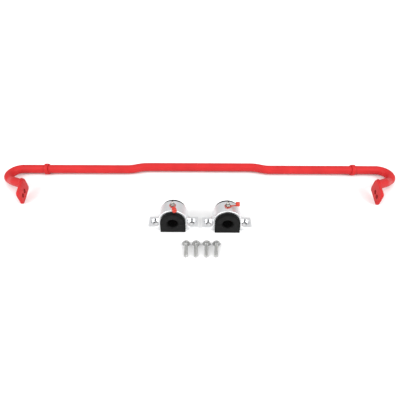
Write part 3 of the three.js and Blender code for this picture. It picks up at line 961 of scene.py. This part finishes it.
def red_coat(name, share):
    """Satin powder coat, with its fine orange peel."""
    finish = Finish(name, IOR=1.22)
    low, high = dimmed((0.45, 0.020, 0.021), share), dimmed((0.51, 0.024, 0.025), share)
    finish.colour(finish.noise(30 * MM, 2), (0.3, low), (0.7, high))
    finish.roughness(finish.noise(6 * MM), 0.42, 0.52)
    finish.bump(finish.noise(1.6 * MM, 1), 0.03 * MM)
    return finish.material


def billet(name, share, polish):
    """Machined aluminium, with tool marks along the bracket's depth. Polish is its least roughness."""
    finish = Finish(name, Metallic=1.0)
    low, high = dimmed((0.97, 0.98, 0.995), share), dimmed((1.03, 1.04, 1.05), share)
    finish.colour(finish.noise(12 * MM, 3), (0.3, low), (0.7, high))
    marks = finish.noise(1.0 * MM, 2, stretch=(1.0, 0.03, 1.0))
    finish.roughness(marks, polish, polish + 0.1)
    finish.bump(marks, 0.02 * MM)
    finish.bump(finish.noise(0.25 * MM, 2), 0.004 * MM)
    return finish.material


def urethane(name, share):
    """Black bushing urethane, matt and faintly grained."""
    finish = Finish(name, IOR=1.2)
    finish.colour(finish.noise(9 * MM, 4), (0.3, share * 0.004), (0.75, share * 0.009))
    finish.roughness(finish.noise(4 * MM, 4), 0.42, 0.62)
    finish.bump(finish.noise(0.5 * MM, 3), 0.012 * MM)
    return finish.material


def zinc():
    """The bolts' dull zinc plate, greyer and yellower in patches."""
    finish = Finish("zinc_plate", Metallic=1.0)
    bluish, grey, yellowish = (0.37, 0.38, 0.39), (0.47, 0.47, 0.46), (0.54, 0.52, 0.47)
    finish.colour(finish.noise(2.5 * MM, 4), (0.3, bluish), (0.55, grey), (0.8, yellowish))
    finish.roughness(finish.noise(1.2 * MM, 4), 0.30, 0.48)
    finish.bump(finish.noise(0.2 * MM, 3), 0.008 * MM)
    return finish.material


def nickel():
    """The grease fittings' bright plate."""
    finish = Finish("plated_fitting", Metallic=1.0)
    low, high = (0.20, 0.19, 0.165), (0.42, 0.415, 0.395)
    finish.colour(finish.noise(3 * MM, 3), (0.3, low), (0.7, high))
    finish.roughness(finish.noise(0.8 * MM, 3), 0.14, 0.26)
    finish.bump(finish.noise(0.15 * MM, 2), 0.004 * MM)
    return finish.material


def steel(name, low, high, polish):
    """Bare steel between two greys. Polish is its least roughness."""
    finish = Finish(name, Metallic=1.0)
    finish.colour(finish.noise(0.8 * MM, 2), (0.3, low), (0.7, high))
    finish.roughness(finish.noise(0.3 * MM, 2), polish, polish + 0.1)
    return finish.material


def red_plastic():
    """The dust caps' soft moulded plastic."""
    finish = Finish("red_moulding", IOR=1.46, Subsurface_Weight=0.12, Subsurface_Scale=0.002)
    low, high = (0.46, 0.030, 0.014), (0.54, 0.040, 0.020)
    finish.colour(finish.noise(5 * MM, 2), (0.3, low), (0.7, high))
    finish.roughness(finish.noise(1.5 * MM, 3), 0.34, 0.46)
    finish.bump(finish.noise(0.4 * MM, 2), 0.008 * MM)
    return finish.material


def paper():
    """The studio's white floor."""
    finish = Finish("white_paper", Specular_IOR_Level=0.2)
    finish.colour(finish.noise(40 * MM, 2), (0.3, 0.90), (0.7, 0.92))
    finish.roughness(finish.noise(5 * MM, 2), 0.75, 0.85)
    return finish.material


# ---- Studio ---------------------------------------------------------------------------------------

FLOOR_HALF = 9.0  # metres, so that its edge stays out of view

# Brightness of the room by how far a view points up, and by how far it points behind the camera, where
# the room is dim: that puts the dark spots in the bright bolt seats.
ROOM_BRIGHTNESS = 0.92
CEILING = [(0.0, 0.42), (0.3, 0.6), (0.85, 1.0)]
DIM_SIDE = Vector((0, -0.77, 0.64))
DIM_PATCH = [(0.86, 1.0), (0.97, 0.04)]

KEY_SPREAD = math.radians(42)
KEY_POWER = 2.3
KEYS = {"left_key": Vector((-0.66, -0.48, 0.58)), "right_key": Vector((0.66, -0.48, 0.58))}

# The photograph's viewpoint.
CAMERA_PLACE = Vector((-5.0 * MM, -588.9 * MM, 508.7 * MM))
CAMERA_FORWARD = Vector((0.005213, 0.770241, -0.637732))
CAMERA_UP = Vector((-0.003200, 0.637753, 0.770223))
CAMERA_SENSOR = 36
CAMERA_LENS = 29.61


def build_camera():
    data = bpy.data.cameras.new("camera")
    data.lens = CAMERA_LENS
    data.sensor_width = CAMERA_SENSOR
    camera = bpy.data.objects.new("camera", data)
    right = CAMERA_FORWARD.cross(CAMERA_UP).normalized()
    up = right.cross(CAMERA_FORWARD).normalized()
    columns = Matrix((right, up, -CAMERA_FORWARD)).transposed().to_4x4()
    columns.translation = CAMERA_PLACE
    camera.matrix_world = columns
    bpy.context.scene.collection.objects.link(camera)
    bpy.context.scene.camera = camera


def add_key(name, toward):
    """A broad soft light that shines evenly over the whole floor from one direction."""
    data = bpy.data.lights.new(name, "SUN")
    data.angle = KEY_SPREAD
    data.energy = KEY_POWER
    light = bpy.data.objects.new(name, data)
    light.rotation_mode = "QUATERNION"
    light.rotation_quaternion = toward.to_track_quat("Z", "Y")
    bpy.context.scene.collection.objects.link(light)


def build_room(scene):
    """A pale ceiling that fades down the walls, and a dim patch behind the camera."""
    room = bpy.data.worlds.new("studio")
    scene.world = room
    room.use_nodes = True
    tree = room.node_tree
    direction = tree.nodes.new("ShaderNodeTexCoord").outputs["Generated"]

    def shade(toward, stops):
        """Brightness by how far the view points toward a direction."""
        product = tree.nodes.new("ShaderNodeVectorMath")
        product.operation = "DOT_PRODUCT"
        product.inputs[1].default_value = toward
        tree.links.new(direction, product.inputs[0])
        return add_ramp(tree, product.outputs["Value"], stops)

    ceiling = shade((0, 0, 1), CEILING)
    dim_side = shade(DIM_SIDE, DIM_PATCH)
    mixed = tree.nodes.new("ShaderNodeMix")
    mixed.data_type = "RGBA"
    mixed.blend_type = "MULTIPLY"
    mixed.inputs["Factor"].default_value = 1
    tree.links.new(ceiling, mixed.inputs["A"])
    tree.links.new(dim_side, mixed.inputs["B"])
    backdrop = tree.nodes["Background"]
    tree.links.new(mixed.outputs["Result"], backdrop.inputs["Color"])
    backdrop.inputs["Strength"].default_value = ROOM_BRIGHTNESS


def build_studio():
    scene = bpy.context.scene
    scene.view_settings.view_transform = "Standard"
    build_room(scene)
    for name, toward in KEYS.items():
        add_key(name, toward)

    half = FLOOR_HALF
    corners = [(-half, -half, 0), (half, -half, 0), (half, half, 0), (-half, half, 0)]
    mesh = bpy.data.meshes.new("floor")
    mesh.from_pydata(corners, [], [(0, 1, 2, 3)])
    mesh.materials.append(paper())
    floor = bpy.data.objects.new("floor", mesh)
    scene.collection.objects.link(floor)


# ---- Scene ----------------------------------------------------------------------------------------


def build_kit():
    # The second, darker red coat is painted shade, put on the walls inside the plate holes.
    coat, painted_shade_coat = red_coat("red_powder_coat", share=1.0), red_coat("red_coat_painted_shade_in_holes", share=0.4)
    machined = billet("machined_billet", share=0.8, polish=0.45)
    bored = billet("bored_billet", share=0.8, polish=0.2)
    # The darkest billet is painted shade, put on the walls of the bolt holes below the seats.
    painted_shade_billet = billet("billet_painted_shade_in_holes", share=0.3, polish=0.45)
    # The end faces inside the rim use a lighter urethane than the rim and sides.
    rubber, lighter_end_rubber = urethane("black_urethane", share=0.4), urethane("urethane_lighter_end_faces", share=1.1)
    plated, moulded, galvanised = nickel(), red_plastic(), zinc()
    polished = steel("polished_ball", (0.55, 0.55, 0.57), (0.66, 0.66, 0.68), polish=0.06)
    wire = steel("spring_wire", (0.30, 0.30, 0.31), (0.42, 0.42, 0.43), polish=0.28)
    build_bar(coat)
    for side in SIDES:
        build_collar(side, coat)
        build_plate(side, coat, painted_shade_coat)
        build_weld(side, coat)
        build_housing(side, machined, bored, painted_shade_billet)
        build_bushing(side, rubber, lighter_end_rubber)
        build_fitting(side, plated)
        build_ball(side, polished)
        build_spring(side, wire)
        build_cap(side, moulded)
    for number in range(1, len(BOLT_PLACES) + 1):
        build_bolt(number, galvanised)


build_camera()
build_studio()
build_kit()
